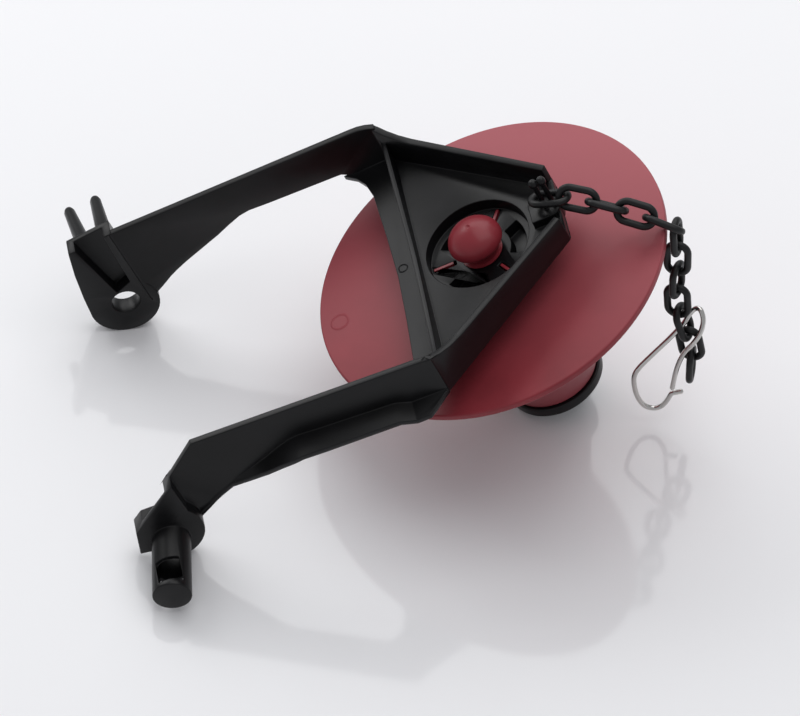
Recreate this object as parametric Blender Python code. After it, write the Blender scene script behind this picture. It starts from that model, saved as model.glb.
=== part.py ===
"""Toilet flush valve seal (flapper): a moulded frame, a turned rubber seal, a float ring, a chain and a clip.

Everything on the frame is drawn in the frame's own axes: X runs from the ears to the chain hook, Y across,
Z up the seal's axis, with Z = 0 at the top of the seal's rim. An empty then lays that frame down so that it
rests on its two ears and on the float ring. The chain hangs in one upright plane through the hook, and the
wire clip hangs from one of its last links.
"""

import math

import bmesh
import bpy
from mathutils import Matrix, Vector

for old in list(bpy.data.objects):
    bpy.data.objects.remove(old, do_unlink=True)

MM = 0.001
GAP = 0.3 * MM

# place of the seal's axis on the floor, so that the whole object stands centred over the origin
PLACE_X = 24.9 * MM
PLACE_Y = 2.95 * MM

# seal
DISC_RADIUS = 47.0 * MM
DISC_THICK = 2.0 * MM
SEAL_CROWN = 0.6 * MM
CONE_TOP_RADIUS = 32.0 * MM
CONE_END_RADIUS = 12.4 * MM
CONE_DEPTH = 42.3 * MM
CONE_WALL = 1.8 * MM
NOSE_RADIUS = 7.7 * MM
NOSE_HEIGHT = 11.0 * MM
NOSE_RISE = 5.8 * MM
NOSE_DROP = 3.6 * MM
DIMPLE_RADIUS = 0.8 * MM
NECK_RADIUS = 4.6 * MM
FIN_THICK = 0.7 * MM

# float ring
RING_RADIUS = 13.1 * MM
RING_HEIGHT = 3.0 * MM
RING_BORE = 7.5 * MM
RING_SPIGOT = 3.2 * MM
RING_EDGE = 0.5 * MM

# frame: deck, socket and hub
DECK_TOP = 9.5 * MM
DECK_THICK = 1.6 * MM
DECK_BACK = -22.0 * MM
DECK_FRONT = 23.2 * MM
SOCKET_RADIUS = 13.9 * MM
SOCKET_WALL = 1.6 * MM
HUB_TOP = 6.0 * MM
HUB_FLOOR = 2.5 * MM
POCKET_INNER = 7.9 * MM
POCKET_OUTER = 12.0 * MM
POCKET_HALF_ANGLE = 29.0
SPOKE_ANGLES = (60.0, 180.0, 300.0)
SLOT_WIDTH = 1.5 * MM
RIB_X = -16.0 * MM
RIB_THICK = 1.3 * MM
RIB_LOW = 13.1 * MM
RIB_RISE = 3.4 * MM

# frame: walls and arms
WALL = 1.8 * MM
CORNER_X = -16.5 * MM
CORNER_Y = 41.4 * MM
ARM_TAPER = 0.0336
FRONT_Y = 9.7 * MM
WALL_FRONT_TOP = 16.5 * MM
NEAR_ARM_TOP = 21.7 * MM
ARM_TOP_SLOPE = 0.03
CORNER_TOP = 21.0 * MM
FAR_ARM_LIFT = 1.4 * MM
FLANGE_THICK = 1.5 * MM
FLANGE_REACH = 6.0 * MM
FLANGE_START_X = -22.3 * MM
FLANGE_END_X = -58.0 * MM
FLANGE_TAPER = 19.0 * MM

# frame: ears
EAR_X = -97.3 * MM
EAR_Z = -0.8 * MM
EAR_RADIUS = 9.3 * MM
EAR_STEP_X = -89.7 * MM
EAR_DEPTH = 5.2 * MM
EAR_PLATE = 1.6 * MM
EAR_TOP = 24.2 * MM
BORE_X = -97.5 * MM
BORE_Z = -2.8 * MM
BORE_RADIUS = 3.8 * MM
COUNTER_RADIUS = 6.2 * MM
FAR_BORE_X = -96.6 * MM
FAR_BORE_Z = 0.2 * MM
PEG_RADIUS = 5.0 * MM
PEG_LENGTH = 18.2 * MM
PEG_CAP = 1.5 * MM
PEG_TOE = 8.0
WINDOW_WIDTH = 6.4 * MM
WINDOW_START = 9.6 * MM
WINDOW_END = 16.5 * MM
WINDOW_LEAN = 0.23
CHAMFER_X = -80.2 * MM
CHAMFER_SLOPE = 0.94

# frame: hook
SILL_THICK = 1.5 * MM
SILL_RISE = 1.8 * MM
HOOK_X = 19.6 * MM
BOSS_TOP = 12.0 * MM
BOSS_LENGTH = 8.4 * MM
BOSS_WIDTH = 6.6 * MM
PIN_RADIUS = 0.7 * MM
PIN_SPACING = 2.2 * MM
PIN_OFFSET = 1.4 * MM
PIN_TOP = 21.6 * MM
PIN_HEAD = 1.25 * MM

# chain
WIRE = 1.9 * MM
LINK_LENGTH = 11.6 * MM
LINK_WIDTH = 7.2 * MM
CHAIN_HEADING = -25.0
CHAIN_START = (14.2, -0.24, 70.95)
LINK_TILTS = (20, 0, -4, -7, -14, -83, -87, -87, -84, -70, -77, -88)
LINK_TWISTS = (-10, 64, 140, 60, 134, 182, 90, 12, 92, 8, 92, 176)
ALONG = Vector((math.cos(math.radians(CHAIN_HEADING)), math.sin(math.radians(CHAIN_HEADING)), 0.0))
ACROSS = Vector((-ALONG.y, ALONG.x, 0.0))
UP = Vector((0.0, 0.0, 1.0))

# clip: its wire's route in millimetres along, across and up from the middle of the link that carries it
CLIP_WIRE = 1.2 * MM
CLIP_LINK = 10
CLIP_GATE_LEG = ((-0.9, -3.1, -21.6), (-0.3, -3.0, -15.0), (0.6, -2.8, -10.6), (1.8, -2.6, -7.4))
CLIP_EYE = (
    (3.4, -2.5, -4.4), (4.8, -1.4, -1.2), (5.0, 0.2, 1.8), (3.9, 1.5, 3.9), (2.4, 2.0, 3.6),
    (1.0, 1.2, 1.6), (0.1, -0.1, -0.3), (-1.6, -1.4, -2.8),
)
CLIP_LONG_LEG = (
    (-3.4, -2.5, -5.4), (-6.4, -3.7, -9.8), (-9.4, -4.9, -14.4), (-10.6, -5.4, -17.6),
    (-10.4, -5.3, -21.6), (-9.4, -5.0, -25.6),
)
CLIP_HOOK = (
    (-7.6, -4.4, -28.8), (-5.2, -3.8, -29.8), (-3.2, -3.4, -28.8), (-1.9, -3.2, -26.4),
    (-1.0, -3.1, -23.9), (0.3, -2.7, -23.3), (1.5, -2.4, -22.9),
)

SEGMENTS = 48
WIRE_SIDES = 8


def principled(name, colour, roughness, metallic=0.0):
    """A plain material of the given colour."""
    material = bpy.data.materials.new(name)
    material.use_nodes = True
    shader = material.node_tree.nodes["Principled BSDF"]
    shader.inputs["Base Color"].default_value = (*colour, 1.0)
    shader.inputs["Roughness"].default_value = roughness
    shader.inputs["Metallic"].default_value = metallic
    return material


def solid(name, rings, closed=False, caps=True):
    """A body from rings of points: each ring is joined to the next, and the two ends are filled."""
    bm = bmesh.new()
    rows = [[bm.verts.new(Vector(point)) for point in ring] for ring in rings]
    count = len(rows[0])
    pairs = list(zip(rows, rows[1:]))
    if closed:
        pairs.append((rows[-1], rows[0]))
    for low, high in pairs:
        for k in range(count):
            j = (k + 1) % count
            bm.faces.new((low[k], low[j], high[j], high[k]))
    if caps and not closed:
        bm.faces.new(rows[0])
        bm.faces.new(rows[-1])
    bmesh.ops.recalc_face_normals(bm, faces=bm.faces)
    mesh = bpy.data.meshes.new(name)
    bm.to_mesh(mesh)
    bm.free()
    body = bpy.data.objects.new(name, mesh)
    bpy.context.collection.objects.link(body)
    return body


def prism(name, outline, low, high, axis="z"):
    """An outline of (a, b) points carried from low to high along an axis; along y, (a, b) is (x, z)."""
    if axis == "z":
        rings = [[(a, b, level) for a, b in outline] for level in (low, high)]
    else:
        rings = [[(a, level, b) for a, b in outline] for level in (low, high)]
    return solid(name, rings)


def turned(name, profile, segments=SEGMENTS):
    """A body of revolution about Z; the profile runs round the section, or from axis to axis."""
    bm = bmesh.new()
    rows = []
    for radius, height in profile:
        if radius < 1e-7:
            rows.append([bm.verts.new((0.0, 0.0, height))])
            continue
        angles = [2.0 * math.pi * k / segments for k in range(segments)]
        rows.append([bm.verts.new((radius * math.cos(a), radius * math.sin(a), height)) for a in angles])
    pairs = list(zip(rows, rows[1:]))
    if len(rows[0]) > 1:
        pairs.append((rows[-1], rows[0]))
    for low, high in pairs:
        for k in range(segments):
            j = (k + 1) % segments
            corners = [low[k % len(low)], low[j % len(low)], high[j % len(high)], high[k % len(high)]]
            unique = []
            for corner in corners:
                if corner not in unique:
                    unique.append(corner)
            if len(unique) > 2:
                bm.faces.new(unique)
    bmesh.ops.recalc_face_normals(bm, faces=bm.faces)
    mesh = bpy.data.meshes.new(name)
    bm.to_mesh(mesh)
    bm.free()
    body = bpy.data.objects.new(name, mesh)
    bpy.context.collection.objects.link(body)
    return body


def rod(name, start, end, start_radius, end_radius, sides=24):
    """A round rod between two points, tapered where the radii differ."""
    axis = (Vector(end) - Vector(start)).normalized()
    across = axis.orthogonal().normalized()
    other = axis.cross(across)
    rings = []
    for centre, radius in ((Vector(start), start_radius), (Vector(end), end_radius)):
        angles = [2.0 * math.pi * k / sides for k in range(sides)]
        rings.append([centre + radius * (across * math.cos(a) + other * math.sin(a)) for a in angles])
    return solid(name, rings)


def pin(name, start, direction, profile, sides=14):
    """A round pin from a start point along a direction; the profile gives (distance, radius) pairs."""
    axis = Vector(direction).normalized()
    across = axis.orthogonal().normalized()
    other = axis.cross(across)
    angles = [2.0 * math.pi * (k + 0.5) / sides for k in range(sides)]
    rings = []
    for distance, radius in profile:
        centre = Vector(start) + axis * distance
        rings.append([centre + radius * (across * math.cos(a) + other * math.sin(a)) for a in angles])
    return solid(name, rings)


def combine(base, others, operation):
    """Joins the other bodies to the base, or cuts them out of it."""
    for other in others:
        modifier = base.modifiers.new("combine", "BOOLEAN")
        modifier.operation = operation
        modifier.solver = "EXACT"
        modifier.object = other
        bpy.context.view_layer.update()
        graph = bpy.context.evaluated_depsgraph_get()
        mesh = bpy.data.meshes.new_from_object(base.evaluated_get(graph))
        base.modifiers.clear()
        base.data = mesh
        bpy.data.objects.remove(other, do_unlink=True)
    return base


def finish(body, name, material, smooth=False, angle=35.0):
    """Cleans the mesh, names it and gives it its material and shading."""
    bm = bmesh.new()
    bm.from_mesh(body.data)
    bmesh.ops.remove_doubles(bm, verts=bm.verts, dist=0.00002)
    bmesh.ops.dissolve_degenerate(bm, edges=bm.edges, dist=0.00001)
    bmesh.ops.recalc_face_normals(bm, faces=bm.faces)
    for face in bm.faces:
        face.smooth = smooth
    for edge in bm.edges:
        edge.smooth = len(edge.link_faces) == 2 and edge.calc_face_angle(0.0) < math.radians(angle)
    bm.to_mesh(body.data)
    bm.free()
    body.name = name
    body.data.name = name
    body.data.materials.clear()
    body.data.materials.append(material)
    return body


def rest_plane():
    """Tilt and height that lay the ears' lobes and the float ring's lower edge on one plane."""
    low_z = -CONE_DEPTH - DISC_THICK - GAP - RING_HEIGHT
    along = EAR_X + RING_RADIUS - RING_EDGE
    down = EAR_Z - low_z
    tilt = math.atan2(along, down) + math.acos(EAR_RADIUS / math.hypot(along, down))
    height = EAR_RADIUS - EAR_X * math.sin(tilt) - EAR_Z * math.cos(tilt)
    return tilt, height


# materials
black_plastic = principled("black_moulded_plastic", (0.018, 0.018, 0.02), 0.38)
red_silicone = principled("dusty_red_silicone", (0.36, 0.085, 0.095), 0.5)
ring_plastic = principled("black_ring_plastic", (0.015, 0.015, 0.016), 0.45)
chain_plastic = principled("black_chain_plastic", (0.02, 0.02, 0.021), 0.4)
stainless = principled("stainless_wire", (0.62, 0.61, 0.6), 0.25, 1.0)


def arm_outer(x):
    """Distance of an arm's outer face from the middle plane."""
    return CORNER_Y + 0.9 * MM + ARM_TAPER * (x - CORNER_X)


def arm_top(x, side):
    """Height of an arm's top edge: a round at the front corner, and a slope down to the near ear."""
    peak = -22.0 * MM
    height = NEAR_ARM_TOP
    if side > 0:
        height += FAR_ARM_LIFT
    if x > peak:
        drop = (x - peak) / (6.5 * MM)
        return height - (height - CORNER_TOP) * drop * drop
    top = height + (peak - x) * ARM_TOP_SLOPE
    if side < 0:
        top -= CHAMFER_SLOPE * max(0.0, CHAMFER_X - x)
    return top


def arm_under(x):
    """Height of an arm's lower edge: flush with the deck, then a shallow rise and the sweep to the ear."""
    stations = (
        (-16.0, 7.8), (-26.0, 7.8), (-30.0, 9.6), (-50.0, 10.8), (-55.5, 11.3), (-58.4, 10.9), (-62.0, 9.5),
        (-66.0, 7.7), (-72.5, 5.3), (-78.6, 3.0), (-82.5, 1.0), (-85.6, -1.0), (-88.8, -2.9), (-92.0, -5.2),
    )
    for (x0, z0), (x1, z1) in zip(stations, stations[1:]):
        if x >= x1 * MM:
            part = (x0 * MM - x) / ((x0 - x1) * MM)
            return (z0 + (z1 - z0) * part) * MM
    return stations[-1][1] * MM


def flange_outer(x):
    """Distance of the flange's outer edge from the middle plane."""
    face = arm_outer(x)
    reach = CORNER_Y + 0.9 * MM + FLANGE_REACH
    if x > FLANGE_START_X:
        start = -16.2 * MM
        return face + 0.15 * MM + (reach - face) * max(0.0, (start - x) / (start - FLANGE_START_X))
    if x > FLANGE_END_X:
        return reach
    part = min(1.0, (FLANGE_END_X - x) / FLANGE_TAPER)
    return reach + (face + 0.4 * MM - reach) * part


def arm(side):
    """One arm: an upright web with a flange along its lower edge, as one L section."""
    stations = (
        -16.2, -18.2, -20.2, -22.3, -26.0, -30.0, -36.0, -43.0, -50.0, -55.5, -58.4, -62.0, -66.0,
        -72.5, -77.0, -80.2, -82.5, -85.6, -88.8, -90.4,
    )
    rings = []
    for station in stations:
        x = station * MM
        outer = arm_outer(x)
        inner = outer - WALL
        low = arm_under(x)
        if side > 0:
            low += FAR_ARM_LIFT * min(1.0, max(0.0, (-24.0 * MM - x) / (6.0 * MM)))
        ledge = low + FLANGE_THICK
        section = (
            (inner, low), (flange_outer(x), low), (flange_outer(x), ledge),
            (outer, ledge), (outer, arm_top(x, side)), (inner, arm_top(x, side)),
        )
        rings.append([(x, side * y, z) for y, z in section])
    return solid("arm", rings)


def tray_wall(side):
    """The slanting wall from the corner to the open front, lower toward the front."""
    start = Vector((CORNER_X, CORNER_Y + 0.9 * MM, 0.0))
    end = Vector((DECK_FRONT, FRONT_Y, 0.0))
    along = (end - start).normalized()
    inward = Vector((along.y, -along.x, 0.0))
    if inward.y > 0.0:
        inward = -inward
    heights = ((0.0, 21.4), (1.8, 20.7), (3.6, 19.7), (7.0, 18.6), (11.0, 18.0), (30.0, 17.2))
    rings = []
    for run, top in heights:
        rings.append((start + along * run * MM, top * MM))
    rings.append((end, WALL_FRONT_TOP))
    sections = []
    for foot, top in rings:
        inner = foot + inward * WALL
        low = DECK_TOP - DECK_THICK - 0.05 * MM
        corners = ((foot, low), (foot, top), (inner, top), (inner, low))
        sections.append([(point.x, side * point.y, level) for point, level in corners])
    return solid("wall", sections)


def deck():
    """The flat floor of the tray, with a bowed back edge and fillets into the arms."""
    half = [(DECK_BACK, 0.0), (DECK_BACK - 0.5 * MM, 15.0 * MM), (DECK_BACK - 1.3 * MM, 30.0 * MM)]
    half += [(-24.6 * MM, 35.0 * MM), (-26.6 * MM, 38.2 * MM), (-29.8 * MM, 40.9 * MM)]
    half += [(CORNER_X, CORNER_Y + 0.4 * MM), (DECK_FRONT - 0.05 * MM, FRONT_Y - 0.5 * MM)]
    outline = half + [(x, -y) for x, y in reversed(half) if y > 0.0]
    return prism("deck", outline, DECK_TOP - DECK_THICK, DECK_TOP)


def cross_rib():
    """The rib across the tray's back, lowest in the middle."""
    steps = 16
    reach = CORNER_Y - 0.6 * MM
    rings = []
    for k in range(steps + 1):
        y = -reach + 2.0 * reach * k / steps
        top = RIB_LOW + RIB_RISE * (abs(y) / reach) ** 1.3
        low = DECK_TOP - DECK_THICK + 0.1 * MM
        x0 = RIB_X - RIB_THICK / 2.0
        x1 = RIB_X + RIB_THICK / 2.0
        rings.append([(x0, y, low), (x1, y, low), (x1, y, top), (x0, y, top)])
    return solid("rib", rings)


def hub():
    """The cup under the deck: outer wall, floor and the collar round the seal's neck."""
    low = SEAL_CROWN + GAP
    profile = [
        (NECK_RADIUS + GAP, low), (SOCKET_RADIUS + SOCKET_WALL, low),
        (SOCKET_RADIUS + SOCKET_WALL, DECK_TOP - 0.3 * MM), (SOCKET_RADIUS, DECK_TOP - 0.3 * MM),
        (SOCKET_RADIUS, HUB_TOP), (NECK_RADIUS + GAP, HUB_TOP),
    ]
    return turned("hub", profile)


def pocket(middle):
    """A sector-shaped pocket in the hub's floor."""
    steps = 8
    turns = [middle + POCKET_HALF_ANGLE * (2.0 * k / steps - 1.0) for k in range(steps + 1)]
    angles = [math.radians(turn) for turn in turns]
    outline = [(POCKET_OUTER * math.cos(a), POCKET_OUTER * math.sin(a)) for a in angles]
    outline += [(POCKET_INNER * math.cos(a), POCKET_INNER * math.sin(a)) for a in reversed(angles)]
    return prism("pocket", outline, HUB_FLOOR, HUB_TOP + 2.0 * MM)


def spoke_box(name, angle, inner, outer, thick, low, high):
    """An upright plate or slot that runs outward from the axis at an angle."""
    half = thick / 2.0
    outline = [(inner, -half), (outer, -half), (outer, half), (inner, half)]
    box = prism(name, outline, low, high)
    box.data.transform(Matrix.Rotation(math.radians(angle), 4, "Z"))
    return box


def hook():
    """The raised round-ended boss at the tray's front and the split post that holds the chain."""
    steps = 8
    radius = BOSS_WIDTH / 2.0
    centre = HOOK_X + BOSS_LENGTH / 2.0 - radius
    outline = [(HOOK_X - BOSS_LENGTH / 2.0, radius), (HOOK_X - BOSS_LENGTH / 2.0, -radius)]
    for k in range(steps + 1):
        a = -math.pi / 2.0 + math.pi * k / steps
        outline.append((centre + radius * math.cos(a), radius * math.sin(a)))
    boss = prism("boss", outline, DECK_TOP - DECK_THICK + 0.05 * MM, BOSS_TOP)
    pieces = [boss]
    for shift in (-0.5, 0.5):
        x = HOOK_X + PIN_OFFSET + shift * PIN_SPACING
        foot = BOSS_TOP - MM
        rise = PIN_TOP - foot
        profile = [
            (0.0, PIN_RADIUS), (rise - PIN_HEAD, PIN_RADIUS), (rise - 0.6 * PIN_HEAD, PIN_HEAD * 0.92),
            (rise, PIN_HEAD), (rise + 0.6 * PIN_HEAD, PIN_HEAD * 0.78),
            (rise + 0.92 * PIN_HEAD, PIN_HEAD * 0.32),
        ]
        pieces.append(pin("pin", (x, 0.0, foot), (0, 0, 1), profile))
    low = DECK_TOP - DECK_THICK + 0.15 * MM
    back = DECK_FRONT - SILL_THICK
    sill = [(back, -FRONT_Y), (DECK_FRONT, -FRONT_Y), (DECK_FRONT, FRONT_Y), (back, FRONT_Y)]
    pieces.append(prism("sill", sill, low, DECK_TOP + SILL_RISE))
    return pieces


def ear(side):
    """One ear: a thick block with a round lobe, hollowed from the inner side, so its plate stands outward."""
    face = arm_outer(EAR_STEP_X) - WALL
    outer = face + EAR_DEPTH
    inner_y, outer_y = sorted((side * face, side * outer))
    top = EAR_TOP + 1.1 * MM
    foot = (EAR_STEP_X, -6.0 * MM)
    if side > 0:
        outline = [foot, (EAR_STEP_X, top), (-102.3 * MM, EAR_TOP)]
        outline += [(-104.2 * MM, 16.0 * MM), (-105.7 * MM, 7.0 * MM), (-106.4 * MM, 1.0 * MM)]
        outline += [(-105.0 * MM, -5.4 * MM), (-99.5 * MM, -9.5 * MM)]
    else:
        outline = [foot, (EAR_STEP_X, arm_top(EAR_STEP_X, side)), (-104.3 * MM, 3.7 * MM)]
        outline += [(-106.4 * MM, -3.7 * MM), (-103.0 * MM, -4.6 * MM), (-99.5 * MM, -9.3 * MM)]
    plate = prism("ear", outline, inner_y, outer_y, "y")
    lobe = rod("lobe", (EAR_X, inner_y, EAR_Z), (EAR_X, outer_y, EAR_Z), EAR_RADIUS, EAR_RADIUS, 40)
    if side < 0:
        corner = [(-89.5, 13.4), (-104.1, 3.5), (-106.1, -3.6), (-102.8, -4.5)]
        corner += [(-101.6, -12.0), (-112.0, -12.0), (-112.0, 13.4)]
        corner = [(x * MM, z * MM) for x, z in corner]
        low, high = sorted((side * (face - MM), side * (outer + MM)))
        combine(lobe, [prism("corner", corner, low, high, "y")], "DIFFERENCE")
    combine(plate, [lobe], "UNION")
    if side > 0:
        recess = [(-101.2, 30.0), (-91.6, 30.0), (-92.6, 6.5), (-97.2, 4.5)]
    else:
        recess = [(-91.5, 30.0), (-92.6, 6.5), (-96.0, 5.6), (-110.0, 6.4), (-110.0, 30.0)]
    recess = [(x * MM, z * MM) for x, z in recess]
    low, high = sorted((side * (face - MM), side * (outer - EAR_PLATE)))
    combine(plate, [prism("recess", recess, low, high, "y")], "DIFFERENCE")
    return plate, face, outer


def peg(outer):
    """The closed hollow pivot peg that stands outward from the near ear, and the cuts that hollow it."""
    toe = math.radians(PEG_TOE)
    along = Vector((-math.sin(toe), -math.cos(toe), 0.0))
    root = Vector((BORE_X, -outer, BORE_Z))
    body = rod("peg", root - along * (EAR_PLATE * 0.8), root + along * PEG_LENGTH, PEG_RADIUS, PEG_RADIUS, 36)
    mouth = root - along * 8.0 * MM
    bore = rod("bore", mouth, root + along * (PEG_LENGTH - PEG_CAP), BORE_RADIUS, BORE_RADIUS, 32)
    half = WINDOW_WIDTH / 2.0
    tall = 9.0 * MM
    lean = WINDOW_LEAN * tall
    outline = [(-half - lean, -tall), (half - lean, -tall), (half + lean, tall), (-half + lean, tall)]
    window = prism("window", outline, -outer - WINDOW_END, -outer - WINDOW_START, "y")
    middle = BORE_X - math.tan(toe) * (WINDOW_START + WINDOW_END) / 2.0
    window.data.transform(Matrix.Translation((middle, 0.0, BORE_Z)))
    return body, bore, window


def far_prongs(outer):
    """Two rounded, tapered prongs on the far ear's top edge."""
    pieces = []
    for x, z, length, lean in ((-98.4, 22.1, 12.9, -2.2), (-92.2, 22.5, 12.5, -0.7)):
        start = (x * MM, outer - 1.1 * MM, z * MM)
        run = (length + 1.1) * MM
        profile = [(0.0, 2.1 * MM), (run - 1.6 * MM, 1.5 * MM), (run - 0.5 * MM, 1.1 * MM)]
        profile.append((run, 0.45 * MM))
        pieces.append(pin("prong", start, (lean / length, 1.0, 0.3 / length), profile))
    return pieces


def wire_path(points, steps):
    """A smooth line through the points."""
    line = []
    points = [Vector(point) for point in points]
    for k in range(len(points) - 1):
        before = points[max(k - 1, 0)]
        start = points[k]
        end = points[k + 1]
        after = points[min(k + 2, len(points) - 1)]
        for step in range(steps):
            t = step / steps
            slope = end - before
            bend = 2.0 * before - 5.0 * start + 4.0 * end - after
            twist = 3.0 * start - before - 3.0 * end + after
            line.append(start + 0.5 * (slope * t + bend * t ** 2 + twist * t ** 3))
    line.append(points[-1])
    return line


def wire(name, line, radius, sides, closed=False, side_hint=None):
    """A round wire along a line of points; a closed line makes a ring."""
    rings = []
    count = len(line)
    across = None
    for k, point in enumerate(line):
        if closed:
            ahead = line[(k + 1) % count]
            behind = line[k - 1]
        else:
            ahead = line[min(k + 1, count - 1)]
            behind = line[max(k - 1, 0)]
        tangent = (ahead - behind).normalized()
        if side_hint is not None:
            across = Vector(side_hint)
        elif across is None:
            across = tangent.orthogonal()
        across = (across - tangent * across.dot(tangent)).normalized()
        other = tangent.cross(across)
        angles = [2.0 * math.pi * (j + 0.5) / sides for j in range(sides)]
        rings.append([point + radius * (across * math.cos(a) + other * math.sin(a)) for a in angles])
    return solid(name, rings, closed)


def chain_directions(index):
    """A link's long direction and its width direction, from its tilt and its twist."""
    tilt = math.radians(LINK_TILTS[index])
    twist = math.radians(LINK_TWISTS[index])
    long_way = ALONG * math.cos(tilt) + UP * math.sin(tilt)
    normal = UP * math.cos(tilt) - ALONG * math.sin(tilt)
    return long_way, ACROSS * math.cos(twist) + normal * math.sin(twist)


def chain_places():
    """Each link's centre, and the point it swings about: it hangs by its end wire from the link before it.

    The swing is about the level line across the chain. Where the outer link's wire runs that way, the inner
    one turns round it; where its own wire does, it turns in itself; and between the two in proportion.
    """
    arc = (LINK_WIDTH - WIRE) / 2.0
    reach = (LINK_LENGTH - WIRE) / 2.0
    centres = [Vector(CHAIN_START) * MM + Vector((PLACE_X, PLACE_Y, 0.0))]
    pivots = [centres[0] - reach * chain_directions(0)[0]]
    for index in range(1, len(LINK_TILTS)):
        before, wide = chain_directions(index - 1)
        now, own_wide = chain_directions(index)
        pull = (now.dot(before) * before + now.dot(wide) * wide).normalized()
        touch = centres[-1] + (reach - arc) * before + arc * pull
        end = touch - (WIRE + GAP) * now
        runs = pull.dot(before) * wide - pull.dot(wide) * before
        outer_share = runs.dot(ACROSS) ** 2
        own_share = own_wide.dot(ACROSS) ** 2
        pivots.append((touch * outer_share + end * own_share) / (outer_share + own_share))
        centres.append(end + reach * now)
    return centres, pivots


def link(index, centre, pivot):
    """One oval link of round wire, with its origin on the point it swings about."""
    long_way, wide = chain_directions(index)
    arc = (LINK_WIDTH - WIRE) / 2.0
    half = (LINK_LENGTH - LINK_WIDTH) / 2.0
    line = []
    steps = 8
    for sign in (1.0, -1.0):
        for k in range(steps + 1):
            a = -math.pi / 2.0 + math.pi * k / steps
            along = sign * (half + arc * math.cos(a))
            line.append(centre - pivot + along * long_way + sign * arc * math.sin(a) * wide)
    normal = long_way.cross(wide)
    body = wire("link", line, WIRE / 2.0, WIRE_SIDES, True, normal)
    name = f"chain_link_{index + 1:02d}"
    finish(body, name, chain_plastic, True, 80.0)
    body.location = pivot
    return body


# frame
frame = deck()
foot = (0.0, 0.0, DECK_TOP - 2.0 * DECK_THICK)
head = (0.0, 0.0, DECK_TOP + DECK_THICK)
combine(frame, [rod("opening", foot, head, SOCKET_RADIUS, SOCKET_RADIUS, SEGMENTS)], "DIFFERENCE")
combine(frame, [arm(1), arm(-1), tray_wall(1), tray_wall(-1), cross_rib()], "UNION")
socket = hub()
for angle in SPOKE_ANGLES:
    inner = POCKET_INNER - 0.7 * MM
    slot = spoke_box("slot", angle, inner, SOCKET_RADIUS - GAP, SLOT_WIDTH, 0.0, HUB_TOP + MM)
    combine(socket, [pocket(angle + 60.0), slot], "DIFFERENCE")
combine(frame, [socket], "UNION")
combine(frame, hook(), "UNION")
near, near_face, near_outer = ear(-1)
far, far_face, far_outer = ear(1)
combine(frame, [near, far], "UNION")
combine(frame, far_prongs(far_outer), "UNION")
peg_body, peg_bore, peg_window = peg(near_outer)
combine(frame, [peg_body], "UNION")
clear = 4.0 * MM
start = (FAR_BORE_X, far_face - clear, FAR_BORE_Z)
bore = rod("bore", start, (FAR_BORE_X, far_outer + clear, FAR_BORE_Z), BORE_RADIUS, BORE_RADIUS, 32)
start = (BORE_X, -near_face + clear, BORE_Z)
floor = (BORE_X, -near_face - EAR_DEPTH + EAR_PLATE, BORE_Z)
counter = rod("counter", start, floor, COUNTER_RADIUS, COUNTER_RADIUS, 36)
combine(frame, [peg_bore, peg_window, bore, counter], "DIFFERENCE")
finish(frame, "frame", black_plastic)

# seal
nose_top = NOSE_HEIGHT + NOSE_RISE
profile = [(0.0, nose_top - 0.45 * MM), (DIMPLE_RADIUS, nose_top - 0.1 * MM)]
for degrees in (14, 28, 42, 56, 70, 85, 100, 114, 128):
    a = math.radians(degrees)
    if degrees < 90:
        level = NOSE_HEIGHT + 0.5 * NOSE_RISE * (1.0 + math.cos(a) - math.sin(a))
    else:
        level = NOSE_HEIGHT + NOSE_DROP * math.cos(a)
    profile.append((NOSE_RADIUS * math.sin(a), level))
profile.append((NECK_RADIUS + 1.2 * MM, HUB_TOP + GAP))
profile.append((NECK_RADIUS, HUB_TOP + GAP))
rim_low = -DISC_THICK
slope = (CONE_TOP_RADIUS - CONE_END_RADIUS) / CONE_DEPTH
wall = CONE_WALL * math.hypot(1.0, slope)
end_low = rim_low - CONE_DEPTH
profile += [(NECK_RADIUS, SEAL_CROWN), (20.0 * MM, SEAL_CROWN - 0.3 * MM), (DISC_RADIUS - 0.5 * MM, 0.0)]
profile += [(DISC_RADIUS, -0.5 * MM), (DISC_RADIUS, rim_low + 0.5 * MM), (DISC_RADIUS - 0.5 * MM, rim_low)]
profile += [(CONE_TOP_RADIUS + 1.2 * MM, rim_low), (CONE_TOP_RADIUS, rim_low - 1.0 * MM)]
profile += [(CONE_END_RADIUS, end_low), (CONE_END_RADIUS - wall, end_low)]
inside = CONE_TOP_RADIUS - wall
profile += [(inside - 1.6 * MM, rim_low - 2.6 * MM), (inside - 5.0 * MM, rim_low), (0.0, -1.8 * MM)]
seal = turned("seal", profile, 56)
fins = []
for angle in SPOKE_ANGLES:
    outer = SOCKET_RADIUS - 0.7 * MM
    fins.append(spoke_box("fin", angle, POCKET_INNER, outer, FIN_THICK, -0.5 * MM, HUB_TOP + GAP))
combine(seal, fins, "UNION")
finish(seal, "seal", red_silicone, True)

# float ring
ring_top = end_low - GAP
spigot = CONE_END_RADIUS - wall - GAP
profile = [
    (RING_BORE, ring_top - RING_HEIGHT), (RING_RADIUS - RING_EDGE, ring_top - RING_HEIGHT),
    (RING_RADIUS, ring_top - RING_HEIGHT + RING_EDGE), (RING_RADIUS, ring_top - RING_EDGE),
    (RING_RADIUS - RING_EDGE, ring_top), (spigot, ring_top), (spigot, ring_top + RING_SPIGOT),
    (RING_BORE, ring_top + RING_SPIGOT),
]
float_ring = turned("float_ring", profile, 40)
finish(float_ring, "float_ring", ring_plastic, True)

tilt, height = rest_plane()
stand = bpy.data.objects.new("resting_place", None)
bpy.context.collection.objects.link(stand)
stand.rotation_euler.y = -tilt
stand.location = (PLACE_X, PLACE_Y, height)
for body in (frame, seal, float_ring):
    body.parent = stand

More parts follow.
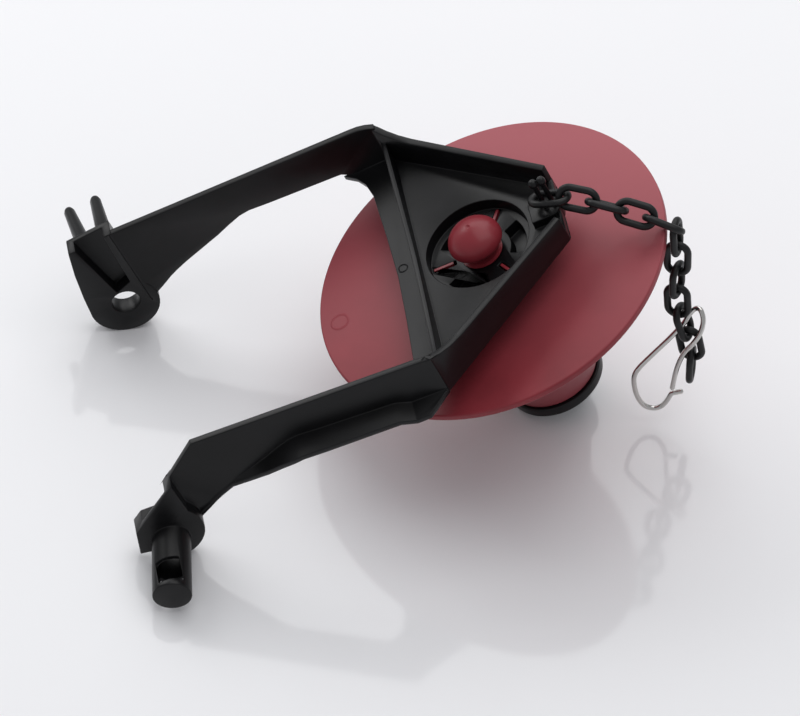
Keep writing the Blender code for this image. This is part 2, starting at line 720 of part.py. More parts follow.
# chain
centres, pivots = chain_places()
for index, centre in enumerate(centres):
    link(index, centre, pivots[index])

# clip
points = []
for along, across, up in CLIP_GATE_LEG + CLIP_EYE + CLIP_LONG_LEG + CLIP_HOOK:
    points.append((ALONG * along + ACROSS * across + UP * up) * MM)
clip = wire("clip", wire_path(points, 2), CLIP_WIRE / 2.0, WIRE_SIDES)
finish(clip, "clip", stainless, True, 80.0)
clip.location = centres[CLIP_LINK - 1]
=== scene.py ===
"""The looks of a toilet flapper: black moulded frame, red silicone seal, float ring, chain and wire clip."""

import math

import bmesh
import bpy
from mathutils import Matrix, Vector


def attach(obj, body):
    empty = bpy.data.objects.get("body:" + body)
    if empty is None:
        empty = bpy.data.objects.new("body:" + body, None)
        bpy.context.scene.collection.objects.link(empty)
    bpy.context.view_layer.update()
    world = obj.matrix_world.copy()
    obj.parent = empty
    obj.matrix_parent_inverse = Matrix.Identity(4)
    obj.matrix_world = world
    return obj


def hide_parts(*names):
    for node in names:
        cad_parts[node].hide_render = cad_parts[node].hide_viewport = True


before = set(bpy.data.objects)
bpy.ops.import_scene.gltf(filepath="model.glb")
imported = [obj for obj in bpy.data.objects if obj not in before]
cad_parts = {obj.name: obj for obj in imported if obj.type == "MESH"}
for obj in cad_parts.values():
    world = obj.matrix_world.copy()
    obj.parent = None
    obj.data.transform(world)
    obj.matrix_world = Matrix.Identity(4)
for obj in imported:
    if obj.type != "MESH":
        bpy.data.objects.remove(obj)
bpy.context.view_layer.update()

# Camera. It looks down on the flapper from in front of the near arm, through a long lens, as a
# product photographer's does, so that the two arms stay almost parallel.
FRAME_WIDTH = 800
FOCAL_PIXELS = 5190.7
SENSOR = 36.0
CAMERA_AZIMUTH = 11.2
CAMERA_ELEVATION = 46.3
CAMERA_ROLL = 1.9
CAMERA_DISTANCE = 1.328
CAMERA_TARGET = Vector((0.0010, -0.00325, 0.025))

azimuth = math.radians(CAMERA_AZIMUTH)
elevation = math.radians(CAMERA_ELEVATION)
roll = math.radians(CAMERA_ROLL)
forward = Vector((
    math.sin(azimuth) * math.cos(elevation),
    math.cos(azimuth) * math.cos(elevation),
    -math.sin(elevation),
))
level = Vector((math.cos(azimuth), -math.sin(azimuth), 0.0))
upright = level.cross(forward)
right = level * math.cos(roll) + upright * math.sin(roll)
up = upright * math.cos(roll) - level * math.sin(roll)
camera_data = bpy.data.cameras.new("camera")
camera_data.sensor_width = SENSOR
camera_data.lens = FOCAL_PIXELS / FRAME_WIDTH * SENSOR
camera_data.clip_end = 20.0
camera = bpy.data.objects.new("camera", camera_data)
bpy.context.collection.objects.link(camera)
turn = Matrix((right, up, -forward)).transposed().to_4x4()
camera.matrix_world = Matrix.Translation(CAMERA_TARGET - forward * CAMERA_DISTANCE) @ turn
bpy.context.scene.camera = camera
bpy.context.scene.view_settings.view_transform = "Standard"


# Table. A sheet of white acrylic, cast between glass, large enough to fill every view: its worn gloss
# mirrors the object only faintly and takes its soft shadow.
FLOOR_HALF = 6.0
FLOOR_COLOUR = "#F0F0F2"
FLOOR_GLOSS = 0.085
FLOOR_MIRROR = 0.5


def linear(code):
    """An sRGB hex colour as linear values."""
    channels = [int(code[k:k + 2], 16) / 255.0 for k in (1, 3, 5)]
    values = [c / 12.92 if c <= 0.04045 else ((c + 0.055) / 1.055) ** 2.4 for c in channels]
    return (*values, 1.0)


def add_node(material, kind, settings=None, inputs=None):
    """Adds a node to a material, with its settings, and its inputs as values or as links."""
    tree = material.node_tree
    made = tree.nodes.new(kind)
    for key, value in (settings or {}).items():
        setattr(made, key, value)
    for socket, value in (inputs or {}).items():
        if isinstance(value, bpy.types.NodeSocket):
            tree.links.new(value, made.inputs[socket])
        else:
            made.inputs[socket].default_value = value
    return made


def start_material(name):
    """An empty node material."""
    material = bpy.data.materials.new(name)
    material.use_nodes = True
    material.node_tree.nodes.clear()
    return material


def put_on(body, material):
    """Gives a piece its one material."""
    body.data.materials.clear()
    body.data.materials.append(material)


# Worn gloss gives a faint, slightly soft mirror image under the object, on an even pale grey white.
acrylic = start_material("white_acrylic_cast_gloss")
shader = add_node(acrylic, "ShaderNodeBsdfPrincipled", None, {
    "Base Color": linear(FLOOR_COLOUR), "Roughness": FLOOR_GLOSS, "IOR": 1.49,
    "Specular IOR Level": FLOOR_MIRROR,
})
add_node(acrylic, "ShaderNodeOutputMaterial", None, {"Surface": shader.outputs["BSDF"]})
mesh = bpy.data.meshes.new("floor")
corners = [(-1.0, -1.0), (1.0, -1.0), (1.0, 1.0), (-1.0, 1.0)]
mesh.from_pydata([(x * FLOOR_HALF, y * FLOOR_HALF, 0.0) for x, y in corners], [], [(0, 1, 2, 3)])
floor = bpy.data.objects.new("floor", mesh)
bpy.context.collection.objects.link(floor)
put_on(floor, acrylic)


# Light. One softbox stands where the table mirrors it into the camera, so the object's own mirror
# image shows as a faint dark shape. A second stands behind and to the left and makes the upward edges
# shine, a third hangs overhead, and a pale surround fills the rest.
SOFTBOXES = (
    ("mirrored_softbox", Vector((0.20, 1.02, 1.08)), 1.10, 0.90, 5.0),
    ("left_softbox", Vector((-0.72, 0.90, 0.80)), 0.80, 0.80, 5.0),
    ("top_softbox", Vector((0.25, 0.10, 1.40)), 1.20, 1.20, 6.0),
)
AIM = Vector((0.0, 0.0, 0.03))
SURROUND = "#D9DADD"
SURROUND_STRENGTH = 0.63

for name, place, width, height, watts in SOFTBOXES:
    lamp = bpy.data.lights.new(name, "AREA")
    lamp.shape = "RECTANGLE"
    lamp.size = width
    lamp.size_y = height
    lamp.energy = watts
    holder = bpy.data.objects.new(name, lamp)
    bpy.context.collection.objects.link(holder)
    holder.location = place
    holder.rotation_mode = "QUATERNION"
    holder.rotation_quaternion = (AIM - place).to_track_quat("-Z", "Y")

world = bpy.data.worlds.new("pale_surround")
bpy.context.scene.world = world
world.use_nodes = True
world.node_tree.nodes.clear()
path = add_node(world, "ShaderNodeLightPath")
fill = add_node(world, "ShaderNodeBackground", None, {
    "Color": linear(SURROUND), "Strength": SURROUND_STRENGTH,
})
seen = add_node(world, "ShaderNodeBackground", None, {"Color": linear("#F4F5F7"), "Strength": 1.0})
mix = add_node(world, "ShaderNodeMixShader", None, {
    0: path.outputs["Is Camera Ray"], 1: fill.outputs[0], 2: seen.outputs[0],
})
add_node(world, "ShaderNodeOutputWorld", None, {"Surface": mix.outputs[0]})


# Frame. One injection moulding in black polypropylene: a tray, two arms and two ears. Its edges have
# the small radius that a mould leaves, and its flat faces the faint waves of a moulded skin. It lies on
# the table tilted, so LAID_DOWN takes a point from the moulding's own axes to its place there.
MM = 0.001
TILT = math.radians(23.4074)
PLACE = Vector((0.0249, 0.00295, 0.048688))
LAID_DOWN = Matrix.Translation(PLACE) @ Matrix.Rotation(-TILT, 4, "Y")
EJECTOR_PLACE = Vector((-20.2, 1.8, 9.5)) * MM
EJECTOR_RADIUS = 1.2 * MM
EJECTOR_LINE = 0.25 * MM
EJECTOR_DEPTH = 0.15 * MM
EDGE_RADIUS = 0.22 * MM
EDGE_ANGLE = math.radians(24.0)
FACET_ANGLE = math.radians(0.6)
WELD = 0.01 * MM
FRAME_FACE = "#0B0B0C"
FRAME_SCUFF = "#141416"
FLOW_WAVE = 14.0 * MM
FLOW_DEPTH = 0.2 * MM
GRAIN = 0.35 * MM
GRAIN_DEPTH = 0.01 * MM


def smooth_by_angle(body, angle):
    """Shades a piece smooth, with its edges above the angle kept sharp."""
    for polygon in body.data.polygons:
        polygon.use_smooth = True
    body.data.set_sharp_from_angle(angle=angle)


def rounded_copy(node, name, radius, angle):
    """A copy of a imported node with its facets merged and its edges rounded."""
    bm = bmesh.new()
    bm.from_mesh(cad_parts[node].data)
    bmesh.ops.remove_doubles(bm, verts=bm.verts, dist=WELD)
    bmesh.ops.dissolve_limit(
        bm, angle_limit=FACET_ANGLE, verts=bm.verts, edges=bm.edges, use_dissolve_boundaries=False,
    )
    sharp = [edge for edge in bm.edges if len(edge.link_faces) == 2 and edge.calc_face_angle(0.0) > angle]
    bmesh.ops.bevel(
        bm, geom=sharp, offset=radius, offset_type="OFFSET", segments=2, profile=0.5,
        affect="EDGES", clamp_overlap=False, miter_outer="ARC",
    )
    mesh = bpy.data.meshes.new(name)
    bm.to_mesh(mesh)
    bm.free()
    body = bpy.data.objects.new(name, mesh)
    bpy.context.collection.objects.link(body)
    return body


def ring_mark(material, place, centre, radius, line):
    """A socket that is 1 on a thin ring of the given radius round a centre, and falls to 0 beside it."""
    away = add_node(material, "ShaderNodeVectorMath", {"operation": "DISTANCE"}, {0: place, 1: centre})
    beside = add_node(material, "ShaderNodeMath", {"operation": "SUBTRACT"}, {
        0: away.outputs["Value"], 1: radius,
    })
    apart = add_node(material, "ShaderNodeMath", {"operation": "ABSOLUTE"}, {0: beside.outputs[0]})
    ring = add_node(material, "ShaderNodeMapRange", None, {
        "Value": apart.outputs[0], "From Max": line, "To Min": 1.0, "To Max": 0.0,
    })
    return ring.outputs["Result"]


# The satin mould skin blurs every reflection, so the black stays black and only the edges shine. The
# mould's grain is finer than this, and is drawn coarser so that it shows.
polypropylene = start_material("black_polypropylene_moulded_satin")
place = add_node(polypropylene, "ShaderNodeTexCoord")
flow = add_node(polypropylene, "ShaderNodeTexNoise", None, {
    "Vector": place.outputs["Object"], "Scale": 1.0 / FLOW_WAVE, "Detail": 3.0, "Roughness": 0.55,
})
grain = add_node(polypropylene, "ShaderNodeTexNoise", None, {
    "Vector": place.outputs["Object"], "Scale": 1.0 / GRAIN, "Detail": 2.0,
})
tint = add_node(polypropylene, "ShaderNodeValToRGB", None, {"Fac": flow.outputs["Fac"]})
tint.color_ramp.elements[0].position = 0.35
tint.color_ramp.elements[0].color = linear(FRAME_FACE)
tint.color_ramp.elements[1].position = 0.75
tint.color_ramp.elements[1].color = linear(FRAME_SCUFF)
polish = add_node(polypropylene, "ShaderNodeMapRange", None, {
    "Value": flow.outputs["Fac"], "To Min": 0.27, "To Max": 0.40,
})
wave = add_node(polypropylene, "ShaderNodeBump", None, {
    "Height": flow.outputs["Fac"], "Strength": 0.5, "Distance": FLOW_DEPTH,
})
skin = add_node(polypropylene, "ShaderNodeBump", None, {
    "Height": grain.outputs["Fac"], "Strength": 0.35, "Distance": GRAIN_DEPTH,
    "Normal": wave.outputs["Normal"],
})
pin_mark = ring_mark(
    polypropylene, place.outputs["Object"], LAID_DOWN @ EJECTOR_PLACE, EJECTOR_RADIUS, EJECTOR_LINE,
)
dent = add_node(polypropylene, "ShaderNodeBump", {"invert": True}, {
    "Height": pin_mark, "Strength": 1.0, "Distance": EJECTOR_DEPTH, "Normal": skin.outputs["Normal"],
})
shader = add_node(polypropylene, "ShaderNodeBsdfPrincipled", None, {
    "Base Color": tint.outputs["Color"], "Roughness": polish.outputs["Result"],
    "Normal": dent.outputs["Normal"], "IOR": 1.49, "Specular IOR Level": 0.27,
})
add_node(polypropylene, "ShaderNodeOutputMaterial", None, {"Surface": shader.outputs["BSDF"]})

hinge_frame = rounded_copy("frame", "hinge_frame", EDGE_RADIUS, EDGE_ANGLE)
smooth_by_angle(hinge_frame, math.radians(35.0))
put_on(hinge_frame, polypropylene)
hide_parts("frame")
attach(hinge_frame, "flapper")


# Seal. One compression moulding in red silicone rubber: a disc, a hollow cone under it, three fins
# and a round nose that was pulled up through the frame's hub to hold the disc there. A plain ring is
# moulded near the disc's edge.
DISC_RADIUS = 47.0 * MM
DISC_THICK = 2.0 * MM
CROWN = 0.6 * MM
EDGE_ROUND = 0.5 * MM
CONE_TOP = 32.0 * MM
CONE_END = 12.4 * MM
CONE_DEPTH = 42.3 * MM
CONE_WALL = 1.8 * MM
FLAT_REACH = 20.0 * MM
CLOSED_TOP = 1.8 * MM
NOSE_RADIUS = 7.2 * MM
NOSE_HEIGHT = 10.8 * MM
NOSE_RISE = 5.7 * MM
NOSE_DROP = 1.7 * MM
NOSE_FOOT = 6.3 * MM
NECK = 4.6 * MM
DIMPLE = 0.8 * MM
FIN_ANGLES = (60.0, 180.0, 300.0)
FIN_INNER = 7.9 * MM
FIN_OUTER = 13.2 * MM
FIN_THICK = 0.7 * MM
SEAL_SIDES = 192
MARK_PLACE = Vector((-41.6, 1.9, 0.0)) * MM
MARK_RADIUS = 2.3 * MM
MARK_LINE = 0.4 * MM
MARK_DEPTH = 0.12 * MM
SILICONE = "#8E2F38"
SILICONE_DEEP = "#7C2830"
# Painted sheen: the paler rose that the disc takes toward the back, where the light falls.
SILICONE_PAINTED_SHEEN = "#A8555D"
DUST_SIZE = 20.0 * MM
# Heights over the seal's base where the disc gives way to the nose. The painted sheen and the duller
# roughness stay below them.
DISC_MASK_LOW = 1.0 * MM
DISC_MASK_HIGH = 4.0 * MM
# The painted sheen grows along this way, toward the back where the light falls.
SHEEN_WAY = Vector((0.5, 0.86, 0.0))
SHEEN_FROM = -20.0 * MM
SHEEN_TO = 55.0 * MM
SKIN_GRAIN = 0.4 * MM
SKIN_DEPTH = 0.01 * MM
SEAL_AXIS = LAID_DOWN.to_3x3() @ Vector((0.0, 0.0, 1.0))



def turned(name, profile, segments):
    """A body of revolution about Z from (radius, height) points, laid down with the seal."""
    bm = bmesh.new()
    rows = []
    for radius, height in profile:
        if radius < 1e-7:
            rows.append([bm.verts.new((0.0, 0.0, height))])
            continue
        angles = [2.0 * math.pi * k / segments for k in range(segments)]
        rows.append([bm.verts.new((radius * math.cos(a), radius * math.sin(a), height)) for a in angles])
    pairs = list(zip(rows, rows[1:]))
    if len(rows[0]) > 1:
        pairs.append((rows[-1], rows[0]))
    for low, high in pairs:
        for k in range(segments):
            j = (k + 1) % segments
            corners = [low[k % len(low)], low[j % len(low)], high[j % len(high)], high[k % len(high)]]
            bm.faces.new(list(dict.fromkeys(corners)))
    bmesh.ops.recalc_face_normals(bm, faces=bm.faces)
    bm.transform(LAID_DOWN)
    mesh = bpy.data.meshes.new(name)
    bm.to_mesh(mesh)
    bm.free()
    body = bpy.data.objects.new(name, mesh)
    bpy.context.collection.objects.link(body)
    return body


def arc(centre, radius, start, end, steps):
    """Points along an arc of a (radius, height) profile, by angles in degrees."""
    points = []
    for k in range(steps + 1):
        a = math.radians(start + (end - start) * k / steps)
        points.append((centre[0] + radius * math.cos(a), centre[1] + radius * math.sin(a)))
    return points


slope = (CONE_TOP - CONE_END) / CONE_DEPTH
wall = CONE_WALL * math.hypot(1.0, slope)
under = -DISC_THICK
cone_end = under - CONE_DEPTH
nose_top = NOSE_HEIGHT + NOSE_RISE
profile = [(0.0, nose_top - 0.5 * MM), (0.35 * DIMPLE, nose_top - 0.4 * MM)]
profile += [(0.8 * DIMPLE, nose_top - 0.14 * MM)]
for degrees in range(10, 129, 4):
    a = math.radians(degrees)
    if degrees < 90:
        level = NOSE_HEIGHT + NOSE_RISE * (0.82 * math.cos(a) + 0.18 * (1.0 - math.sin(a)))
    else:
        level = NOSE_HEIGHT + NOSE_DROP * math.cos(a)
    profile.append((NOSE_RADIUS * math.sin(a), level))
profile += [(NECK + 0.2 * MM, NOSE_HEIGHT - 1.9 * MM), (NECK + 0.2 * MM, NOSE_FOOT + 0.4 * MM)]
profile += [(NECK + 1.0 * MM, NOSE_FOOT + 0.2 * MM), (NECK + 1.0 * MM, NOSE_FOOT)]
profile += [(NECK, NOSE_FOOT), (NECK, CROWN + 0.3 * MM), (NECK + 0.3 * MM, CROWN)]
profile += [(FLAT_REACH, CROWN - 0.3 * MM)]
profile += arc((DISC_RADIUS - EDGE_ROUND, -EDGE_ROUND), EDGE_ROUND, 90.0, 0.0, 6)
profile += arc((DISC_RADIUS - EDGE_ROUND, under + EDGE_ROUND), EDGE_ROUND, 0.0, -90.0, 6)
profile += [(CONE_TOP + 1.4 * MM, under), (CONE_TOP + 0.5 * MM, under - 0.3 * MM)]
profile += [(CONE_TOP, under - 1.1 * MM), (CONE_END, cone_end + 0.2 * MM)]
profile += [(CONE_END - 0.2 * MM, cone_end), (CONE_END - wall + 0.2 * MM, cone_end)]
inside = CONE_TOP - wall
profile += [(CONE_END - wall, cone_end + 0.2 * MM), (inside - 1.6 * MM, under - 2.6 * MM)]
profile += [(inside - 2.8 * MM, under - 1.0 * MM), (inside - 5.0 * MM, under), (0.0, -CLOSED_TOP)]
silicone_seal = turned("silicone_seal", profile, SEAL_SIDES)

fins = []
for angle in FIN_ANGLES:
    bm = bmesh.new()
    bmesh.ops.create_cube(bm, size=1.0)
    length = FIN_OUTER - FIN_INNER
    tall = NOSE_FOOT + 0.5 * MM
    size = Matrix.Diagonal((length, FIN_THICK, tall, 1.0))
    middle = Matrix.Translation(((FIN_INNER + FIN_OUTER) / 2.0, 0.0, tall / 2.0 - 0.5 * MM))
    bm.transform(LAID_DOWN @ Matrix.Rotation(math.radians(angle), 4, "Z") @ middle @ size)
    mesh = bpy.data.meshes.new("fin")
    bm.to_mesh(mesh)
    bm.free()
    fin = bpy.data.objects.new("fin", mesh)
    bpy.context.collection.objects.link(fin)
    fins.append(fin)
for fin in fins:
    union = silicone_seal.modifiers.new("fin", "BOOLEAN")
    union.operation = "UNION"
    union.solver = "EXACT"
    union.object = fin
bpy.context.view_layer.update()
graph = bpy.context.evaluated_depsgraph_get()
mesh = bpy.data.meshes.new_from_object(silicone_seal.evaluated_get(graph))
silicone_seal.modifiers.clear()
silicone_seal.data = mesh
for fin in fins:
    bpy.data.objects.remove(fin, do_unlink=True)
smooth_by_angle(silicone_seal, math.radians(38.0))

# Soft satin rubber: a broad dull shine with no hard reflections. A painted sheen makes the disc paler toward
# the back and the chain, where the light falls, and leaves the nose deep. Its skin grain is drawn coarser
# than it is.
silicone = start_material("red_silicone_moulded_satin")
place = add_node(silicone, "ShaderNodeTexCoord")
cloud = add_node(silicone, "ShaderNodeTexNoise", None, {
    "Vector": place.outputs["Object"], "Scale": 1.0 / DUST_SIZE, "Detail": 4.0, "Roughness": 0.6,
})
grain = add_node(silicone, "ShaderNodeTexNoise", None, {
    "Vector": place.outputs["Object"], "Scale": 1.0 / SKIN_GRAIN, "Detail": 2.0,
})
tint = add_node(silicone, "ShaderNodeValToRGB", None, {"Fac": cloud.outputs["Fac"]})
tint.color_ramp.elements[0].position = 0.3
tint.color_ramp.elements[0].color = linear(SILICONE_DEEP)
tint.color_ramp.elements[1].position = 0.7
tint.color_ramp.elements[1].color = linear(SILICONE)
above = add_node(silicone, "ShaderNodeVectorMath", {"operation": "DOT_PRODUCT"}, {
    0: place.outputs["Object"], 1: SEAL_AXIS,
})
# 1 on the disc and 0 on the nose. It limits the painted sheen and sets the roughness.
on_disc = add_node(silicone, "ShaderNodeMapRange", None, {
    "Value": above.outputs["Value"], "From Min": PLACE.dot(SEAL_AXIS) + DISC_MASK_LOW,
    "From Max": PLACE.dot(SEAL_AXIS) + DISC_MASK_HIGH, "To Min": 1.0, "To Max": 0.0,
})
across = add_node(silicone, "ShaderNodeVectorMath", {"operation": "DOT_PRODUCT"}, {
    0: place.outputs["Object"], 1: SHEEN_WAY,
})
toward_back = add_node(silicone, "ShaderNodeMapRange", None, {
    "Value": across.outputs["Value"], "From Min": SHEEN_FROM, "From Max": SHEEN_TO,
})
# Painted sheen: how much paler rose goes on the disc, more toward the back.
painted_sheen = add_node(silicone, "ShaderNodeMath", {"operation": "MULTIPLY"}, {
    0: on_disc.outputs["Result"], 1: toward_back.outputs["Result"],
})
sheen_tint = add_node(silicone, "ShaderNodeMix", {"data_type": "RGBA"}, {
    0: painted_sheen.outputs[0], 6: tint.outputs["Color"], 7: linear(SILICONE_PAINTED_SHEEN),
})
polish = add_node(silicone, "ShaderNodeMapRange", None, {
    "Value": on_disc.outputs["Result"], "To Min": 0.3, "To Max": 0.46,
})
skin = add_node(silicone, "ShaderNodeBump", None, {
    "Height": grain.outputs["Fac"], "Strength": 0.3, "Distance": SKIN_DEPTH,
})
mark = ring_mark(silicone, place.outputs["Object"], LAID_DOWN @ MARK_PLACE, MARK_RADIUS, MARK_LINE)
raised = add_node(silicone, "ShaderNodeBump", None, {
    "Height": mark, "Strength": 1.0, "Distance": MARK_DEPTH, "Normal": skin.outputs["Normal"],
})
shader = add_node(silicone, "ShaderNodeBsdfPrincipled", None, {
    "Base Color": sheen_tint.outputs[2], "Roughness": polish.outputs["Result"],
    "Normal": raised.outputs["Normal"], "IOR": 1.43, "Specular IOR Level": 0.4,
})
add_node(silicone, "ShaderNodeOutputMaterial", None, {"Surface": shader.outputs["BSDF"]})
put_on(silicone_seal, silicone)
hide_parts("seal")
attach(silicone_seal, "flapper")


# Float ring. A small turned-looking moulding in black polypropylene, pushed into the open end of the
# cone: its flange stands round the mouth and its spigot grips inside.
RING_RADIUS = 13.1 * MM
RING_HEIGHT = 3.0 * MM
RING_BORE = 7.5 * MM
RING_SPIGOT = 3.2 * MM
RING_EDGE = 0.5 * MM
RING_GAP = 0.3 * MM
RING_SIDES = 128

ring_top = cone_end - RING_GAP
ring_low = ring_top - RING_HEIGHT
spigot = CONE_END - wall - RING_GAP
profile = [(RING_BORE + 0.2 * MM, ring_low)]
profile += arc((RING_RADIUS - RING_EDGE, ring_low + RING_EDGE), RING_EDGE, -90.0, 0.0, 5)
profile += arc((RING_RADIUS - RING_EDGE, ring_top - RING_EDGE), RING_EDGE, 0.0, 90.0, 5)
profile += [(spigot + 0.2 * MM, ring_top), (spigot, ring_top + 0.2 * MM)]
profile += [(spigot, ring_top + RING_SPIGOT - 0.3 * MM), (spigot - 0.3 * MM, ring_top + RING_SPIGOT)]
profile += [(RING_BORE + 0.2 * MM, ring_top + RING_SPIGOT)]
profile += [(RING_BORE, ring_top + RING_SPIGOT - 0.2 * MM), (RING_BORE, ring_low + 0.2 * MM)]
mouth_ring = turned("mouth_ring", profile, RING_SIDES)
smooth_by_angle(mouth_ring, math.radians(40.0))
put_on(mouth_ring, polypropylene)
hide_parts("float_ring")
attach(mouth_ring, "flapper")


# Chain. Twelve oval links in black acetal, moulded already joined. The first lies round the pins of the
# frame's hook, the next reach across the disc, and the rest hang over its edge.
WIRE = 1.9 * MM
LINK_LENGTH = 11.6 * MM
LINK_WIDTH = 7.2 * MM
LINK_GAP = 0.3 * MM
CHAIN_HEADING = math.radians(-25.0)
CHAIN_START = Vector((39.1, 2.71, 70.95)) * MM
LINK_TILTS = (20, 0, -4, -7, -14, -83, -87, -87, -84, -70, -77, -88)
LINK_TWISTS = (-10, 64, 140, 60, 134, 182, 90, 12, 92, 8, 92, 176)
ALONG = Vector((math.cos(CHAIN_HEADING), math.sin(CHAIN_HEADING), 0.0))
ACROSS = Vector((-ALONG.y, ALONG.x, 0.0))
UP = Vector((0.0, 0.0, 1.0))
CHAIN_FACE = "#111112"
CHAIN_SCUFF = "#1C1C1D"
RUB_SIZE = 4.0 * MM
RUB_DEPTH = 0.06 * MM
WIRE_SIDES = 20
BEND_STEPS = 16

reach = (LINK_LENGTH - WIRE) / 2.0
bend = (LINK_WIDTH - WIRE) / 2.0


def link_directions(index):
    """A link's long direction and its width direction, from its tilt and its twist."""
    tilt = math.radians(LINK_TILTS[index])
    twist = math.radians(LINK_TWISTS[index])
    long_way = ALONG * math.cos(tilt) + UP * math.sin(tilt)
    normal = UP * math.cos(tilt) - ALONG * math.sin(tilt)
    return long_way, ACROSS * math.cos(twist) + normal * math.sin(twist)


def swept_wire(name, line, radius, sides, closed, hint=None):
    """A round wire along a line of points, with domed ends where it is open."""
    bm = bmesh.new()
    rings = []
    count = len(line)
    across = hint
    for k, point in enumerate(line):
        ahead = line[(k + 1) % count] if closed else line[min(k + 1, count - 1)]
        behind = line[k - 1] if closed else line[max(k - 1, 0)]
        tangent = (ahead - behind).normalized()
        if across is None:
            across = tangent.orthogonal()
        across = (across - tangent * across.dot(tangent)).normalized()
        other = tangent.cross(across)
        angles = [2.0 * math.pi * j / sides for j in range(sides)]
        spokes = [(across * math.cos(a) + other * math.sin(a)) * radius for a in angles]
        rings.append((point, spokes, tangent))
    rows = [[bm.verts.new(point + spoke) for spoke in spokes] for point, spokes, tangent in rings]
    if not closed:
        for end, sign in ((0, -1.0), (-1, 1.0)):
            point, spokes, tangent = rings[end]
            for share in (35.0, 65.0):
                a = math.radians(share)
                push = tangent * (sign * radius * 0.7 * math.sin(a))
                row = [bm.verts.new(point + push + spoke * math.cos(a)) for spoke in spokes]
                rows = [row] + rows if end == 0 else rows + [row]
    pairs = list(zip(rows, rows[1:]))
    if closed:
        pairs.append((rows[-1], rows[0]))
    for low, high in pairs:
        for k in range(sides):
            j = (k + 1) % sides
            bm.faces.new((low[k], low[j], high[j], high[k]))
    if not closed:
        bm.faces.new(rows[0])
        bm.faces.new(rows[-1])
    bmesh.ops.recalc_face_normals(bm, faces=bm.faces)
    mesh = bpy.data.meshes.new(name)
    bm.to_mesh(mesh)
    bm.free()
    body = bpy.data.objects.new(name, mesh)
    bpy.context.collection.objects.link(body)
    smooth_by_angle(body, math.radians(60.0))
    return body


# Links that rub on each other wear to a patchy satin: black, with small soft greyer shines on the bends.
acetal = start_material("black_acetal_moulded_satin")
place = add_node(acetal, "ShaderNodeTexCoord")
rub = add_node(acetal, "ShaderNodeTexNoise", None, {
    "Vector": place.outputs["Object"], "Scale": 1.0 / RUB_SIZE, "Detail": 4.0, "Roughness": 0.6,
})
tint = add_node(acetal, "ShaderNodeValToRGB", None, {"Fac": rub.outputs["Fac"]})
tint.color_ramp.elements[0].position = 0.4
tint.color_ramp.elements[0].color = linear(CHAIN_FACE)
tint.color_ramp.elements[1].position = 0.75
tint.color_ramp.elements[1].color = linear(CHAIN_SCUFF)
polish = add_node(acetal, "ShaderNodeMapRange", None, {
    "Value": rub.outputs["Fac"], "To Min": 0.32, "To Max": 0.5,
})
skin = add_node(acetal, "ShaderNodeBump", None, {
    "Height": rub.outputs["Fac"], "Strength": 0.4, "Distance": RUB_DEPTH,
})
shader = add_node(acetal, "ShaderNodeBsdfPrincipled", None, {
    "Base Color": tint.outputs["Color"], "Roughness": polish.outputs["Result"],
    "Normal": skin.outputs["Normal"], "IOR": 1.48, "Specular IOR Level": 0.35,
})
add_node(acetal, "ShaderNodeOutputMaterial", None, {"Surface": shader.outputs["BSDF"]})

centres = [CHAIN_START]
for index in range(1, len(LINK_TILTS)):
    before, wide = link_directions(index - 1)
    now = link_directions(index)[0]
    pull = (now.dot(before) * before + now.dot(wide) * wide).normalized()
    touch = centres[-1] + (reach - bend) * before + bend * pull
    centres.append(touch + (reach - WIRE - LINK_GAP) * now)
for index, centre in enumerate(centres):
    long_way, wide = link_directions(index)
    line = []
    for sign in (1.0, -1.0):
        for k in range(BEND_STEPS + 1):
            a = math.radians(-90.0 + 180.0 * k / BEND_STEPS)
            outward = (reach - bend + bend * math.cos(a)) * long_way + bend * math.sin(a) * wide
            line.append(centre + sign * outward)
    name = f"chain_link_{index + 1:02d}"
    normal = long_way.cross(wide)
    oval = swept_wire(f"oval_link_{index + 1:02d}", line, WIRE / 2.0, WIRE_SIDES, True, normal)
    put_on(oval, acetal)
    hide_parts(name)
    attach(oval, f"link_{index + 1:02d}")


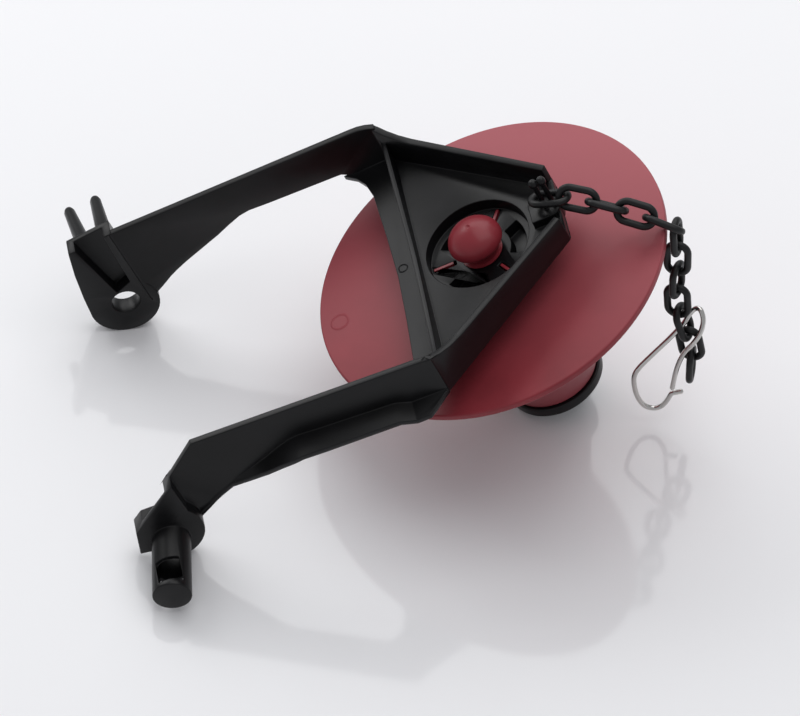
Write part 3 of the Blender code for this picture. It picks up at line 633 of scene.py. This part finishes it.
# Clip. A snap hook bent from one length of stainless spring wire: an eye through the chain, a long leg
# round the bottom to a hooked end, and a sprung gate leg that closes on it. The points give the wire's
# route in millimetres along, across and up from the middle of the link that carries it.
CLIP_WIRE = 1.35 * MM
CLIP_LINK = 10
CLIP_STEPS = 6
STEEL = "#C9C7C4"
DRAW_LINE = 0.3 * MM
DRAW_DEPTH = 0.01 * MM
CLIP_GATE_LEG = ((-0.9, -3.1, -21.6), (-0.3, -3.0, -15.0), (0.6, -2.8, -10.6), (1.8, -2.6, -7.4))
CLIP_EYE = (
    (3.4, -2.5, -4.4), (4.8, -1.4, -1.2), (5.0, 0.2, 1.8), (3.9, 1.5, 3.9), (2.4, 2.0, 3.6),
    (1.0, 1.2, 1.6), (0.1, -0.1, -0.3), (-1.6, -1.4, -2.8),
)
CLIP_LONG_LEG = (
    (-3.4, -2.5, -5.4), (-6.4, -3.7, -9.8), (-9.4, -4.9, -14.4), (-10.6, -5.4, -17.6),
    (-10.4, -5.3, -21.6), (-9.4, -5.0, -25.6),
)
CLIP_HOOK = (
    (-7.6, -4.4, -28.8), (-5.2, -3.8, -29.8), (-3.2, -3.4, -28.8), (-1.9, -3.2, -26.4),
    (-1.0, -3.1, -23.9), (0.3, -2.7, -23.3), (1.5, -2.4, -22.9),
)

route = []
for along, across, high in CLIP_GATE_LEG + CLIP_EYE + CLIP_LONG_LEG + CLIP_HOOK:
    route.append(centres[CLIP_LINK - 1] + (ALONG * along + ACROSS * across + UP * high) * MM)
line = []
for k in range(len(route) - 1):
    before = route[max(k - 1, 0)]
    start = route[k]
    end = route[k + 1]
    after = route[min(k + 2, len(route) - 1)]
    for step in range(CLIP_STEPS):
        t = step / CLIP_STEPS
        run = (end - before) * t
        curve = (2.0 * before - 5.0 * start + 4.0 * end - after) * t ** 2
        twist = (3.0 * start - before - 3.0 * end + after) * t ** 3
        line.append(start + 0.5 * (run + curve + twist))
line.append(route[-1])
snap_clip = swept_wire("snap_clip", line, CLIP_WIRE / 2.0, WIRE_SIDES, False)

# Drawn wire is bright, with fine draw lines that break its reflections up a little. The real lines are
# finer, and are drawn coarser so that they show.
steel = start_material("stainless_steel_drawn_wire")
place = add_node(steel, "ShaderNodeTexCoord")
drawn = add_node(steel, "ShaderNodeTexNoise", None, {
    "Vector": place.outputs["Object"], "Scale": 1.0 / DRAW_LINE, "Detail": 2.0,
})
polish = add_node(steel, "ShaderNodeMapRange", None, {
    "Value": drawn.outputs["Fac"], "To Min": 0.08, "To Max": 0.2,
})
skin = add_node(steel, "ShaderNodeBump", None, {
    "Height": drawn.outputs["Fac"], "Strength": 0.3, "Distance": DRAW_DEPTH,
})
shader = add_node(steel, "ShaderNodeBsdfPrincipled", None, {
    "Base Color": linear(STEEL), "Metallic": 1.0, "Roughness": polish.outputs["Result"],
    "Normal": skin.outputs["Normal"],
})
add_node(steel, "ShaderNodeOutputMaterial", None, {"Surface": shader.outputs["BSDF"]})
put_on(snap_clip, steel)
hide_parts("clip")
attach(snap_clip, "clip")
